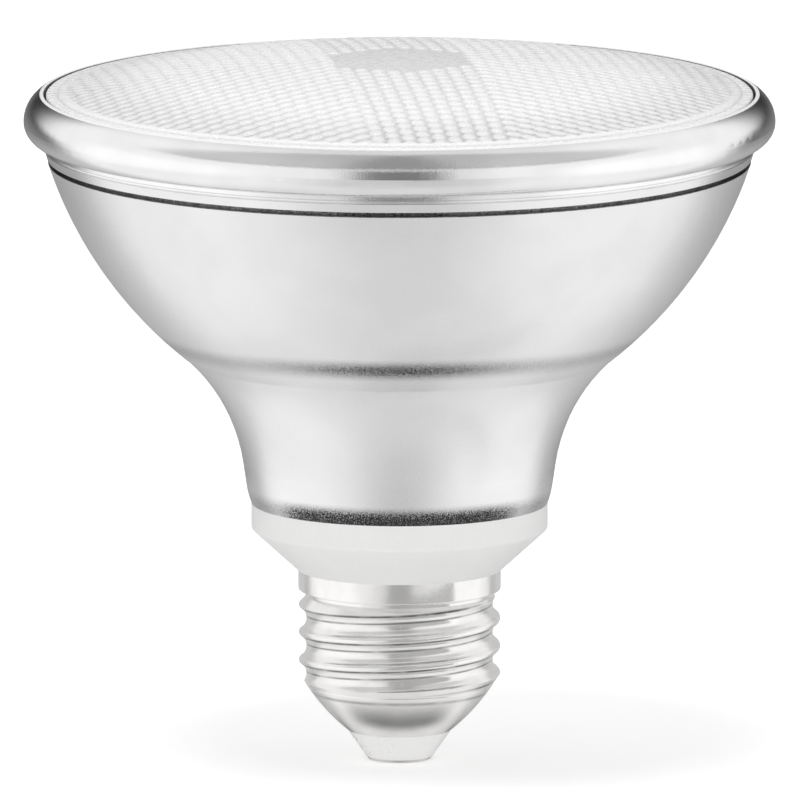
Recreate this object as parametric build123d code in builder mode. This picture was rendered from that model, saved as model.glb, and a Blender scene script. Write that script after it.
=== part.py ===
"""A short-neck PAR spotlight bulb with a screw cap and an LED light engine, in millimetres.

The lamp stands on its centre contact at the origin, with its axis along +Z and its lens at the top.
Heights are stacked up from the contact, and radii are measured from the lamp's axis.
"""

import os
from math import sqrt

from build123d import *

# Centre contact and cap insulator
CONTACT_RADIUS = 4.1
CONTACT_THICKNESS = 0.35
CONTACT_EDGE_ROUND = 0.2
STEM_RADIUS = 1.3
STEM_LENGTH = 6.65
STEM_CLEARANCE = 0.05
INSULATOR_HEIGHT = 3.45
INSULATOR_LIP = 0.2
INSULATOR_PLUG_HEIGHT = 1.6

# Screw shell, a rolled sheet with a round-crested right-hand thread
SHEET_THICKNESS = 0.45
SHELL_END_RADIUS = 6.7
SHELL_CONE_HEIGHT = 5.9
SHELL_CONE_BULGE = 0.3
THREAD_ROOT_RADIUS = 12.05
THREAD_CREST_RADIUS = 13.03
THREAD_PITCH = 3.629
THREAD_LENGTH = 12.0
THREAD_RUN_IN = 2.2
THREAD_FADE = 1.6
THREAD_CREST_WIDTH = 0.9
THREAD_ROOT_FLAT = 0.12
THREAD_SINK = 0.15
THREAD_ROOM = 0.1
CAP_RIM_RADIUS = 13.1
CAP_RIM_HEIGHT = 2.7
CAP_RIM_ROUND = 0.25
CAP_NECK_HEIGHT = 0.5

# Driver housing, whose collar shows between the cap and the body
COLLAR_LIP = 0.15
COLLAR_RADIUS = 19.15
COLLAR_CONE_HEIGHT = 5.4
COLLAR_BAND_HEIGHT = 3.3
COLLAR_EDGE_ROUND = 0.5
HOUSING_WALL = 1.5
SPIGOT_WALL = 1.3
SPIGOT_RISE = 1.5
HOUSING_CLEARANCE = 0.15
SLEEVE_CLEARANCE = 0.2
RIB_THICKNESS = 1.0
RIB_REACH = 2.0
RIB_ROOT = 0.75
RIB_HEIGHT = 10.0
COVER_THICKNESS = 1.5
COVER_STEP = 1.0
COVER_CLEARANCE = 0.3

# Body, one thin casting from the neck to the shoulder with a web across it
BODY_WALL = 2.4
FOOT_HEIGHT = 2.2
NECK_STEP = 0.6
NECK_TAPER_HEIGHT = 3.0
NECK_TAPER = 0.45
WAIST_RADIUS = 27.4
WAIST_RISE = 18.9
BOWL_HEIGHT = 25.6
BOWL_CURVE_RADIUS = 53.9
WEB_RISE = 1.5
WEB_THICKNESS = 3.0

# Front ring: a round bead over a narrow band, with a shadow gap above the body's shoulder
RIM_RADIUS = 48.5
BEAD_LOWER_RADIUS = 2.6
BEAD_UPPER_HEIGHT = 3.7
BEAD_STEP = 0.1
LIP_SETBACK = 2.4
LIP_CHAMFER = 0.2
BAND_HEIGHT = 2.1
BAND_TAPER = 0.35
BAND_LINE_DEPTH = 0.3
BAND_LINE_WIDTH = 0.5
SHOULDER_SETBACK = 0.1
SHADOW_GAP = 0.6
RING_WALL = 1.4
RING_CLEARANCE = 0.15
LEDGE_THICKNESS = 1.0
LEDGE_WIDTH = 2.9

# Lens and its seal
LENS_CLEARANCE = 0.3
LENS_SET_BACK = 0.1
LENS_EDGE_THICKNESS = 2.2
LENS_BORDER_WIDTH = 1.6
LENS_STEP = 0.25
LENS_RISE = 4.5
LENS_THICKNESS = 2.8
SEAL_THICKNESS = 0.4
SEAL_WIDTH = 2.2
SEAL_INSET = 0.2

# Reflector cup
CUP_WALL = 0.9
CUP_MOUTH_SETBACK = 1.7
CUP_FLANGE_THICKNESS = 1.0
CUP_FLANGE_CLEARANCE = 0.3
CUP_FOOT_HEIGHT = 1.0
CUP_CLEARANCE = 0.3

# Light engine
PAD_THICKNESS = 0.3
LED_BOARD_RADIUS = 21.0
LED_BOARD_THICKNESS = 1.6
CARRIER_SIDE = 12.0
CARRIER_THICKNESS = 1.0
PHOSPHOR_RADIUS = 5.0
PHOSPHOR_HEIGHT = 0.5
SCREW_COUNT = 3
SCREW_START_ANGLE = 60
SCREW_RADIUS = 1.5
SCREW_LENGTH = 4.4
SCREW_HEAD_RADIUS = 2.75
SCREW_HEAD_HEIGHT = 1.7
SCREW_EDGE_DISTANCE = 4.0
SCREW_SLOT_WIDTH = 0.7
SCREW_SLOT_DEPTH = 0.8
SCREW_CLEARANCE = 0.05

# Driver board and its components
BOARD_THICKNESS = 1.6
BOARD_CLEARANCE = 0.3
BOARD_TONGUE_GAP = 0.6
BOARD_TOP_GAP = 2.5
BOARD_FOOT_GAP = 2.0
SOLDER_GAP = 0.05
PART_SPACING = 0.4
CAPACITOR_RADIUS = 4.0
BULK_CAPACITOR_LENGTH = 13.0
OUTPUT_CAPACITOR_LENGTH = 11.0
CAPACITOR_CRIMP = 0.35
CAPACITOR_CRIMP_RISE = 1.4
CAPACITOR_ROUND = 0.5
CAPACITOR_EDGE_DISTANCE = 8.25
CAPACITOR_SPACING = 11.0
CORE_SIDE = 13.0
CORE_LEG = 2.6
CORE_DEPTH = 6.0
WINDING_DEPTH = 8.6
WINDING_CLEARANCE = 0.1
WINDING_ROUND = 0.8
FILM_CAPACITOR_SIZE = (10.0, 5.0, 8.5)
FILM_CAPACITOR_ROUND = 0.6
CHOKE_RADIUS = 3.5
CHOKE_HEIGHT = 7.0
CHOKE_FLANGE = 1.0
CHOKE_WAIST_RADIUS = 2.9
VARISTOR_RADIUS = 3.5
VARISTOR_THICKNESS = 3.0
VARISTOR_ROUND = 0.8
VARISTOR_PLACE = 5.5
RECTIFIER_SIZE = (4.8, 2.4, 4.0)
RECTIFIER_PLACE = 4.0
CHIP_SIZE = (5.0, 1.6, 4.0)
FUSE_RADIUS = 1.5
FUSE_LENGTH = 7.0
FUSE_WAIST = 0.25
FUSE_CAP_LENGTH = 1.4
FUSE_PLACE = 2.5
FUSE_RISE = 1.0

# Leads
LEAD_RADIUS = 0.5
LEAD_BEND = 1.5
LEAD_EDGE_DISTANCE = 1.25
LEAD_RUN = 6.0
LEAD_SOLDER_LENGTH = 3.5
LEAD_SLOT_LENGTH = 7.2
LEAD_SLOT_WIDTH = 2.2
SHELL_LEAD_PLACE = 5.0
CONTACT_LEAD_RISE = 2.0

# Heights up the cap
shell_bottom = CONTACT_THICKNESS + INSULATOR_HEIGHT
thread_bottom = shell_bottom + SHELL_CONE_HEIGHT
thread_top = thread_bottom + THREAD_LENGTH
cap_rim_bottom = thread_top + CAP_NECK_HEIGHT
cap_top = cap_rim_bottom + CAP_RIM_HEIGHT
cap_seat_height = cap_rim_bottom + SHEET_THICKNESS + HOUSING_CLEARANCE
stem_top = CONTACT_THICKNESS + STEM_LENGTH

# Heights up the body
collar_cone_top = cap_top + COLLAR_CONE_HEIGHT
body_bottom = collar_cone_top + COLLAR_BAND_HEIGHT
waist_height = body_bottom + WAIST_RISE
shoulder_height = waist_height + BOWL_HEIGHT
web_top = waist_height + WEB_RISE
web_bottom = web_top - WEB_THICKNESS

# Heights up the front ring and lens
ring_bottom = shoulder_height + SHADOW_GAP
bead_bottom = ring_bottom + BAND_HEIGHT
bead_middle = bead_bottom + BEAD_LOWER_RADIUS
lip_top = bead_middle + BEAD_UPPER_HEIGHT
lens_border_top = lip_top - LENS_SET_BACK
lens_edge_bottom = lens_border_top - LENS_EDGE_THICKNESS
ledge_top = lens_edge_bottom - SEAL_THICKNESS
ledge_bottom = ledge_top - LEDGE_THICKNESS
rim_spigot_top = ledge_bottom - CUP_FLANGE_THICKNESS

# Heights of the light engine
pad_top = web_top + PAD_THICKNESS
led_board_top = pad_top + LED_BOARD_THICKNESS
cup_throat_height = led_board_top + CUP_FOOT_HEIGHT

# Radii that fit one piece to another
shell_bore = THREAD_ROOT_RADIUS - SHEET_THICKNESS
spigot_radius = shell_bore - HOUSING_CLEARANCE
spigot_bore = spigot_radius - SPIGOT_WALL
cap_seat_radius = CAP_RIM_RADIUS - SHEET_THICKNESS - HOUSING_CLEARANCE
collar_foot_radius = CAP_RIM_RADIUS + COLLAR_LIP
sleeve_radius = COLLAR_RADIUS - BODY_WALL - SLEEVE_CLEARANCE
sleeve_bore = sleeve_radius - HOUSING_WALL
neck_radius = COLLAR_RADIUS + NECK_STEP
bead_foot_radius = RIM_RADIUS - BEAD_LOWER_RADIUS
band_top_radius = bead_foot_radius - BEAD_STEP
band_foot_radius = band_top_radius - BAND_TAPER
shoulder_radius = band_foot_radius - SHOULDER_SETBACK
ring_bore = band_foot_radius - RING_WALL
rim_spigot_radius = ring_bore - RING_CLEARANCE
lip_radius = RIM_RADIUS - LIP_SETBACK
lip_bore = lip_radius - LIP_CHAMFER
ledge_bore = lip_bore - LEDGE_WIDTH
cup_mouth_radius = ledge_bore - CUP_MOUTH_SETBACK
lens_radius = lip_bore - LENS_CLEARANCE
dome_radius = lens_radius - LENS_BORDER_WIDTH
cup_throat_radius = CARRIER_SIDE / sqrt(2) + CUP_CLEARANCE
screw_circle_radius = LED_BOARD_RADIUS - SCREW_EDGE_DISTANCE

# The driver's compartment, from the spigot's foot to the cover
spigot_bottom = thread_bottom + SPIGOT_RISE
sleeve_top = web_bottom - COVER_CLEARANCE - COVER_THICKNESS
cavity_cone_top = cap_top + sleeve_bore - spigot_bore
board_top = sleeve_top - BOARD_TOP_GAP
board_shoulder = cavity_cone_top + BOARD_CLEARANCE
board_bottom = spigot_bottom + BOARD_FOOT_GAP
board_face = BOARD_THICKNESS / 2
board_half_width = sleeve_bore - BOARD_CLEARANCE
tongue_half_width = spigot_bore - BOARD_TONGUE_GAP
lead_place = board_half_width - LEAD_EDGE_DISTANCE
lead_offset = board_face + SOLDER_GAP + LEAD_RADIUS


def turn(*points, mode=Mode.ADD):
    """Turn a closed outline of (radius, height) points about the lamp's axis."""
    with BuildSketch(Plane.XZ) as section:
        with BuildLine():
            Polyline(*points, close=True)
        make_face()
    revolve(section.sketch, axis=Axis.Z, mode=mode)


def body_side(inset):
    """Draw the body's side from foot to shoulder, moved in towards the axis by inset."""
    foot = (COLLAR_RADIUS - inset, body_bottom)
    neck = (neck_radius - inset, body_bottom + FOOT_HEIGHT)
    taper = (neck[0] + NECK_TAPER, neck[1] + NECK_TAPER_HEIGHT)
    waist = (WAIST_RADIUS - inset, waist_height)
    shoulder = (shoulder_radius - inset, shoulder_height)
    slope = (NECK_TAPER, NECK_TAPER_HEIGHT)
    TangentArc(neck, foot, tangent=(-slope[0], -slope[1]))
    Line(neck, taper)
    TangentArc(taper, waist, tangent=slope)
    RadiusArc(waist, shoulder, -BOWL_CURVE_RADIUS)
    return foot, shoulder


def lead(*points, bend):
    """Sweep a round lead along straight runs with rounded corners."""
    with BuildLine() as path:
        FilletPolyline(*points, radius=bend)
    with BuildSketch(Plane(path.line @ 0, z_dir=path.line % 0)) as section:
        Circle(LEAD_RADIUS)
    sweep(section.sketch, path=path.line)


def lead_slot(bottom, height):
    """Cut the slot that passes the two light engine leads, up from a given height."""
    with BuildSketch(Plane.XY.offset(bottom)) as section:
        with Locations((lead_place, 0)):
            SlotOverall(LEAD_SLOT_LENGTH, LEAD_SLOT_WIDTH, rotation=90)
    extrude(section.sketch, amount=height, mode=Mode.SUBTRACT)


def screw_holes(radius, bottom, height):
    """Drill the light engine's screw holes, up from a given height."""
    with BuildSketch(Plane.XY.offset(bottom)) as section:
        with PolarLocations(screw_circle_radius, SCREW_COUNT, start_angle=SCREW_START_ANGLE):
            Circle(radius)
    extrude(section.sketch, amount=height, mode=Mode.SUBTRACT)


def keep(part, name):
    """Label a finished piece and write it."""
    part.label = name
    export_step(part, f"parts/{name}.step")


os.makedirs("parts", exist_ok=True)

# Centre contact: a rounded disc with a stem up through the insulator
with BuildPart() as centre_contact:
    Cylinder(CONTACT_RADIUS, CONTACT_THICKNESS, align=(Align.CENTER, Align.CENTER, Align.MIN))
    fillet(centre_contact.edges().sort_by(Axis.Z)[0], CONTACT_EDGE_ROUND)
    Cylinder(STEM_RADIUS, stem_top, align=(Align.CENTER, Align.CENTER, Align.MIN))
keep(centre_contact.part, "centre_contact")

# Cap insulator: a cone under the shell's end, with a plug inside the shell
plug_foot_radius = SHELL_END_RADIUS - SHEET_THICKNESS - HOUSING_CLEARANCE
with BuildPart() as cap_insulator:
    turn(
        (STEM_RADIUS + STEM_CLEARANCE, CONTACT_THICKNESS),
        (CONTACT_RADIUS + INSULATOR_LIP, CONTACT_THICKNESS),
        (SHELL_END_RADIUS, shell_bottom),
        (plug_foot_radius, shell_bottom),
        (plug_foot_radius, shell_bottom + INSULATOR_PLUG_HEIGHT),
        (STEM_RADIUS + STEM_CLEARANCE, shell_bottom + INSULATOR_PLUG_HEIGHT),
    )
keep(cap_insulator.part, "cap_insulator")


def shell_side(inset):
    """Draw the shell's plain side from its end to its rim, moved in by inset."""
    end = (SHELL_END_RADIUS - inset, shell_bottom)
    cone_top = (THREAD_ROOT_RADIUS - inset, thread_bottom)
    neck = (THREAD_ROOT_RADIUS - inset, cap_rim_bottom + inset)
    rim = (CAP_RIM_RADIUS - inset, cap_rim_bottom + inset)
    top = (CAP_RIM_RADIUS - inset, cap_top)
    SagittaArc(end, cone_top, -SHELL_CONE_BULGE)
    FilletPolyline(cone_top, neck, rim, top, radius=CAP_RIM_ROUND)
    return end, top


def thread_ridge(inset):
    """Make the thread's ridge, moved in by inset, with both of its ends fading into the shell."""
    root = THREAD_ROOT_RADIUS - inset
    crest = THREAD_CREST_RADIUS - inset
    half_base = (THREAD_PITCH - THREAD_ROOT_FLAT) / 2
    half_crest = THREAD_CREST_WIDTH / 2
    height = crest - root
    flank = height * (1 - half_crest / half_base)
    with BuildPart() as ridge:
        with BuildLine() as path:
            start = (0, 0, thread_bottom - THREAD_RUN_IN)
            Helix(THREAD_PITCH, THREAD_LENGTH + 2 * THREAD_RUN_IN, root, center=start)
        with BuildSketch(Plane(path.line @ 0, x_dir=(1, 0, 0), z_dir=path.line % 0)) as section:
            with BuildLine():
                TangentArc((0, -half_base), (flank, -half_crest), tangent=(0, 1))
                ThreePointArc((flank, -half_crest), (height, 0), (flank, half_crest))
                TangentArc((0, half_base), (flank, half_crest), tangent=(0, -1))
                Polyline(
                    (0, half_base),
                    (-THREAD_SINK, half_base),
                    (-THREAD_SINK, -half_base),
                    (0, -half_base),
                )
            make_face()
        sweep(section.sketch, path=path.line, is_frenet=True)
        turn(
            (0, thread_bottom),
            (root - THREAD_SINK / 2, thread_bottom),
            (crest + THREAD_ROOM, thread_bottom + THREAD_FADE),
            (crest + THREAD_ROOM, thread_top - THREAD_FADE),
            (root - THREAD_SINK / 2, thread_top),
            (0, thread_top),
            mode=Mode.INTERSECT,
        )
    return ridge.part


# Screw shell: rolled sheet, so the thread shows inside it as it does outside
outer_ridge = thread_ridge(0)
inner_ridge = thread_ridge(SHEET_THICKNESS)
with BuildPart() as screw_shell:
    with BuildSketch(Plane.XZ):
        with BuildLine():
            outer_end, outer_top = shell_side(0)
            inner_end, inner_top = shell_side(SHEET_THICKNESS)
            Line(outer_end, inner_end)
            Line(outer_top, inner_top)
        make_face()
    revolve(axis=Axis.Z)
    add(outer_ridge)
    add(inner_ridge, mode=Mode.SUBTRACT)
keep(screw_shell.part, "screw_shell")

# Driver housing: a spigot in the cap, the collar, and a sleeve in the body's neck
with BuildPart() as driver_housing:
    turn(
        (spigot_bore, spigot_bottom),
        (spigot_radius, spigot_bottom),
        (spigot_radius, cap_seat_height),
        (cap_seat_radius, cap_seat_height),
        (cap_seat_radius, cap_top),
        (collar_foot_radius, cap_top),
        (COLLAR_RADIUS, collar_cone_top),
        (COLLAR_RADIUS, body_bottom),
        (sleeve_radius, body_bottom),
        (sleeve_radius, sleeve_top),
        (sleeve_bore, sleeve_top),
        (sleeve_bore, cavity_cone_top),
        (spigot_bore, cap_top),
    )
    round_edges = driver_housing.edges().filter_by(GeomType.CIRCLE)
    collar_edges = round_edges.filter_by_position(Axis.Z, collar_cone_top, collar_cone_top)
    fillet(collar_edges.sort_by(SortBy.RADIUS)[-1], COLLAR_EDGE_ROUND)
    for side in (-1, 1):
        for face in (-1, 1):
            rib_middle = (
                side * (sleeve_bore + (RIB_ROOT - RIB_REACH) / 2),
                face * (board_face + HOUSING_CLEARANCE + RIB_THICKNESS / 2),
                board_shoulder,
            )
            with Locations(rib_middle):
                Box(
                    RIB_REACH + RIB_ROOT,
                    RIB_THICKNESS,
                    RIB_HEIGHT,
                    align=(Align.CENTER, Align.CENTER, Align.MIN),
                )
keep(driver_housing.part, "driver_housing")

# Driver cover: a lid on the sleeve that keeps the driver off the web
with BuildPart() as driver_cover:
    turn(
        (0, sleeve_top - COVER_STEP),
        (sleeve_bore - HOUSING_CLEARANCE, sleeve_top - COVER_STEP),
        (sleeve_bore - HOUSING_CLEARANCE, sleeve_top),
        (sleeve_radius, sleeve_top),
        (sleeve_radius, sleeve_top + COVER_THICKNESS),
        (0, sleeve_top + COVER_THICKNESS),
    )
    lead_slot(sleeve_top - COVER_STEP, COVER_STEP + COVER_THICKNESS)
keep(driver_cover.part, "driver_cover")

# Body: the neck and bowl, a web that carries the light engine, and a spigot for the front ring
with BuildPart() as lamp_body:
    with BuildSketch(Plane.XZ):
        with BuildLine():
            foot, shoulder = body_side(0)
            Polyline(shoulder, (0, shoulder[1]), (0, foot[1]), foot)
        make_face()
    revolve(axis=Axis.Z)
    with BuildSketch(Plane.XZ):
        with BuildLine():
            foot, shoulder = body_side(BODY_WALL)
            Polyline(shoulder, (0, shoulder[1]), (0, foot[1]), foot)
        make_face()
        with Locations((0, web_bottom)):
            Rectangle(
                2 * shoulder_radius,
                WEB_THICKNESS,
                align=(Align.CENTER, Align.MIN),
                mode=Mode.SUBTRACT,
            )
    revolve(axis=Axis.Z, mode=Mode.SUBTRACT)
    turn(
        (rim_spigot_radius - RING_WALL, shoulder_height - BODY_WALL),
        (rim_spigot_radius, shoulder_height - BODY_WALL),
        (rim_spigot_radius, rim_spigot_top),
        (rim_spigot_radius - RING_WALL, rim_spigot_top),
    )
    lead_slot(web_bottom, WEB_THICKNESS)
    screw_holes(SCREW_RADIUS + SCREW_CLEARANCE, web_bottom, WEB_THICKNESS)
keep(lamp_body.part, "lamp_body")

# Front ring: bead, band and a ledge that clamps the reflector cup and carries the lens
band_foot = (band_foot_radius, ring_bottom)
line_top = (band_top_radius, bead_bottom - BAND_LINE_WIDTH)
line_bottom = (band_top_radius, line_top[1] - BAND_LINE_WIDTH)
line_floor = (band_top_radius - BAND_LINE_DEPTH, (line_top[1] + line_bottom[1]) / 2)
bead_foot = (bead_foot_radius, bead_bottom)
bead_side = (RIM_RADIUS, bead_middle)
lip = (lip_radius, lip_top)
with BuildPart() as front_ring:
    with BuildSketch(Plane.XZ):
        with BuildLine():
            Line(band_foot, line_bottom)
            ThreePointArc(line_bottom, line_floor, line_top)
            Polyline(line_top, (band_top_radius, bead_bottom), bead_foot)
            TangentArc(bead_side, bead_foot, tangent=(0, -1))
            TangentArc(bead_side, lip, tangent=(0, 1))
            Polyline(
                lip,
                (lip_bore, lip_top - LIP_CHAMFER),
                (lip_bore, ledge_top),
                (ledge_bore, ledge_top),
                (ledge_bore, ledge_bottom),
                (ring_bore, ledge_bottom),
                (ring_bore, ring_bottom),
                band_foot,
            )
        make_face()
    revolve(axis=Axis.Z)
keep(front_ring.part, "front_ring")

# Lens: a shallow dome with a plain border, flat under its edge where it sits on the seal
with BuildPart() as front_lens:
    dome_foot = lens_border_top + LENS_STEP
    dome_top = dome_foot + LENS_RISE
    with BuildSketch(Plane.XZ):
        with BuildLine():
            TangentArc((0, dome_top), (dome_radius, dome_foot), tangent=(1, 0))
            Polyline(
                (dome_radius, dome_foot),
                (dome_radius, lens_border_top),
                (lens_radius, lens_border_top),
                (lens_radius, lens_edge_bottom),
                (ledge_bore, lens_edge_bottom),
            )
            TangentArc((0, dome_top - LENS_THICKNESS), (ledge_bore, lens_edge_bottom), tangent=(1, 0))
            Line((0, dome_top), (0, dome_top - LENS_THICKNESS))
        make_face()
    revolve(axis=Axis.Z)
keep(front_lens.part, "front_lens")

# Lens seal: a flat ring between the ledge and the lens
with BuildPart() as lens_seal:
    turn(
        (lens_radius - SEAL_INSET - SEAL_WIDTH, ledge_top),
        (lens_radius - SEAL_INSET, ledge_top),
        (lens_radius - SEAL_INSET, lens_edge_bottom),
        (lens_radius - SEAL_INSET - SEAL_WIDTH, lens_edge_bottom),
    )
keep(lens_seal.part, "lens_seal")

# Reflector cup: a parabolic shell that stands on the LED board, with a flange under the front ring
with BuildPart() as reflector_cup:
    throat = (cup_throat_radius, cup_throat_height)
    mouth = (cup_mouth_radius, ledge_bottom)
    steepness = (mouth[1] - throat[1]) / (mouth[0] ** 2 - throat[0] ** 2)
    middle_radius = (throat[0] + mouth[0]) / 2
    middle = (middle_radius, throat[1] + 2 * steepness * throat[0] * (middle_radius - throat[0]))
    flange_radius = rim_spigot_radius - CUP_FLANGE_CLEARANCE
    flange_bottom = ledge_bottom - CUP_FLANGE_THICKNESS
    back_throat = (throat[0] + CUP_WALL, throat[1] - CUP_WALL)
    back_middle = (middle[0] + CUP_WALL, middle[1] - CUP_WALL)
    back_mouth = (mouth[0] + CUP_WALL, flange_bottom)
    with BuildSketch(Plane.XZ):
        with BuildLine():
            Bezier(throat, middle, mouth)
            Polyline(mouth, (flange_radius, mouth[1]), (flange_radius, flange_bottom), back_mouth)
            Bezier(back_throat, back_middle, back_mouth)
            Polyline(back_throat, (back_throat[0], led_board_top), (throat[0], led_board_top), throat)
        make_face()
    revolve(axis=Axis.Z)
keep(reflector_cup.part, "reflector_cup")

# Thermal pad and LED board, stacked on the web
with BuildPart() as thermal_pad:
    with BuildSketch(Plane.XY.offset(web_top)):
        Circle(LED_BOARD_RADIUS)
    extrude(amount=PAD_THICKNESS)
    lead_slot(web_top, PAD_THICKNESS)
    screw_holes(SCREW_RADIUS + SCREW_CLEARANCE, web_top, PAD_THICKNESS)
keep(thermal_pad.part, "thermal_pad")

with BuildPart() as led_board:
    with BuildSketch(Plane.XY.offset(pad_top)):
        Circle(LED_BOARD_RADIUS)
    extrude(amount=LED_BOARD_THICKNESS)
    lead_slot(pad_top, LED_BOARD_THICKNESS)
    screw_holes(SCREW_RADIUS + SCREW_CLEARANCE, pad_top, LED_BOARD_THICKNESS)
keep(led_board.part, "led_board")

# Screws that hold the LED board to the web, with slotted heads
with BuildPart() as board_screws:
    with PolarLocations(screw_circle_radius, SCREW_COUNT, start_angle=SCREW_START_ANGLE):
        with Locations((0, 0, led_board_top)):
            Cylinder(SCREW_RADIUS, SCREW_LENGTH, align=(Align.CENTER, Align.CENTER, Align.MAX))
            Cylinder(SCREW_HEAD_RADIUS, SCREW_HEAD_HEIGHT, align=(Align.CENTER, Align.CENTER, Align.MIN))
        with Locations((0, 0, led_board_top + SCREW_HEAD_HEIGHT)):
            Box(
                2 * SCREW_HEAD_RADIUS,
                SCREW_SLOT_WIDTH,
                SCREW_SLOT_DEPTH,
                align=(Align.CENTER, Align.CENTER, Align.MAX),
                mode=Mode.SUBTRACT,
            )
keep(board_screws.part, "board_screws")

# LED carrier and the phosphor disc on it
with BuildPart() as led_carrier:
    with BuildSketch(Plane.XY.offset(led_board_top)):
        Rectangle(CARRIER_SIDE, CARRIER_SIDE)
    extrude(amount=CARRIER_THICKNESS)
keep(led_carrier.part, "led_carrier")

with BuildPart() as led_phosphor:
    with BuildSketch(Plane.XY.offset(led_board_top + CARRIER_THICKNESS)):
        Circle(PHOSPHOR_RADIUS)
    extrude(amount=PHOSPHOR_HEIGHT)
    fillet(led_phosphor.edges().group_by(Axis.Z)[-1], PHOSPHOR_HEIGHT / 2)
keep(led_phosphor.part, "led_phosphor")

# Driver board: wide in the sleeve, with a narrow tongue down into the cap
with BuildPart() as driver_board:
    with BuildSketch(Plane.XZ.offset(-board_face)):
        with BuildLine():
            Polyline(
                (-tongue_half_width, board_bottom),
                (tongue_half_width, board_bottom),
                (tongue_half_width, board_shoulder),
                (board_half_width, board_shoulder),
                (board_half_width, board_top),
                (-board_half_width, board_top),
                (-board_half_width, board_shoulder),
                (-tongue_half_width, board_shoulder),
                close=True,
            )
        make_face()
    extrude(amount=BOARD_THICKNESS)
keep(driver_board.part, "driver_board")


def board_part(size, across, bottom, side):
    """Make a boxy component on a face of the driver board: side is -1 for its front, 1 for its back."""
    width, depth, height = size
    with Locations((across, side * (board_face + SOLDER_GAP + depth / 2), bottom)):
        Box(width, depth, height, align=(Align.CENTER, Align.CENTER, Align.MIN))


def can_capacitor(across, length):
    """Make an upright can behind the driver board, with a crimp near its foot and a rounded top."""
    side = CAPACITOR_RADIUS
    crimp_bottom = (side, CAPACITOR_CRIMP_RISE - CAPACITOR_CRIMP)
    crimp_middle = (side - CAPACITOR_CRIMP, CAPACITOR_CRIMP_RISE)
    crimp_top = (side, CAPACITOR_CRIMP_RISE + CAPACITOR_CRIMP)
    top_side = (side, length - CAPACITOR_ROUND)
    top = (side - CAPACITOR_ROUND, length)
    axis = Axis((across, board_face + SOLDER_GAP + side, capacitor_bottom), (0, 0, 1))
    with BuildSketch(Plane(axis.position, x_dir=(1, 0, 0), z_dir=(0, -1, 0))) as section:
        with BuildLine():
            Polyline((0, 0), (side, 0), crimp_bottom)
            ThreePointArc(crimp_bottom, crimp_middle, crimp_top)
            Line(crimp_top, top_side)
            TangentArc(top_side, top, tangent=(0, 1))
            Polyline(top, (0, length), (0, 0))
        make_face()
    revolve(section.sketch, axis=axis)


# Components on the back of the driver board, from the cap up
film_bottom = board_bottom + LEAD_SOLDER_LENGTH + PART_SPACING
film_top = film_bottom + FILM_CAPACITOR_SIZE[2]
varistor_middle = film_top + PART_SPACING + VARISTOR_RADIUS
capacitor_bottom = varistor_middle + VARISTOR_RADIUS + PART_SPACING
capacitor_place = CAPACITOR_EDGE_DISTANCE - board_half_width

with BuildPart() as film_capacitor:
    board_part(FILM_CAPACITOR_SIZE, 0, film_bottom, 1)
    fillet(film_capacitor.edges().filter_by(Axis.Y), FILM_CAPACITOR_ROUND)
keep(film_capacitor.part, "film_capacitor")

with BuildPart() as varistor:
    with BuildSketch(Plane.XZ.offset(-board_face - SOLDER_GAP)):
        with Locations((-VARISTOR_PLACE, varistor_middle)):
            Circle(VARISTOR_RADIUS)
    extrude(amount=-VARISTOR_THICKNESS)
    fillet(varistor.edges().filter_by(GeomType.CIRCLE), VARISTOR_ROUND)
keep(varistor.part, "varistor")

with BuildPart() as bridge_rectifier:
    board_part(RECTIFIER_SIZE, RECTIFIER_PLACE, film_top + PART_SPACING, 1)
keep(bridge_rectifier.part, "bridge_rectifier")

with BuildPart() as bulk_capacitor:
    can_capacitor(capacitor_place, BULK_CAPACITOR_LENGTH)
keep(bulk_capacitor.part, "bulk_capacitor")

with BuildPart() as output_capacitor:
    can_capacitor(capacitor_place + CAPACITOR_SPACING, OUTPUT_CAPACITOR_LENGTH)
keep(output_capacitor.part, "output_capacitor")

# Components on the front of the driver board, from the cap up
fuse_middle = board_bottom + FUSE_RISE + FUSE_RADIUS
choke_bottom = fuse_middle + FUSE_RADIUS + PART_SPACING
chip_bottom = choke_bottom + CHOKE_HEIGHT + PART_SPACING
core_bottom = max(chip_bottom + CHIP_SIZE[2], board_shoulder) + PART_SPACING

with BuildPart() as fuse_resistor:
    fuse_axis = Axis((0, -board_face - SOLDER_GAP - FUSE_RADIUS, fuse_middle), (1, 0, 0))
    with BuildSketch(Plane(fuse_axis.position, x_dir=(1, 0, 0), z_dir=(0, -1, 0))):
        with BuildLine():
            left = FUSE_PLACE - FUSE_LENGTH / 2
            right = FUSE_PLACE + FUSE_LENGTH / 2
            waist = FUSE_RADIUS - FUSE_WAIST
            Polyline(
                (left, 0),
                (left, FUSE_RADIUS),
                (left + FUSE_CAP_LENGTH, FUSE_RADIUS),
                (left + FUSE_CAP_LENGTH + FUSE_WAIST, waist),
                (right - FUSE_CAP_LENGTH - FUSE_WAIST, waist),
                (right - FUSE_CAP_LENGTH, FUSE_RADIUS),
                (right, FUSE_RADIUS),
                (right, 0),
                close=True,
            )
        make_face()
    revolve(axis=fuse_axis)
keep(fuse_resistor.part, "fuse_resistor")

with BuildPart() as input_choke:
    choke_depth = -board_face - SOLDER_GAP - CHOKE_RADIUS
    with Locations((0, choke_depth, choke_bottom)):
        Cylinder(CHOKE_RADIUS, CHOKE_HEIGHT, align=(Align.CENTER, Align.CENTER, Align.MIN))
    with BuildSketch(Plane.XY.offset(choke_bottom + CHOKE_FLANGE)):
        with Locations((0, choke_depth)):
            Circle(2 * CHOKE_RADIUS)
            Circle(CHOKE_WAIST_RADIUS, mode=Mode.SUBTRACT)
    extrude(amount=CHOKE_HEIGHT - 2 * CHOKE_FLANGE, mode=Mode.SUBTRACT)
keep(input_choke.part, "input_choke")

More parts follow.
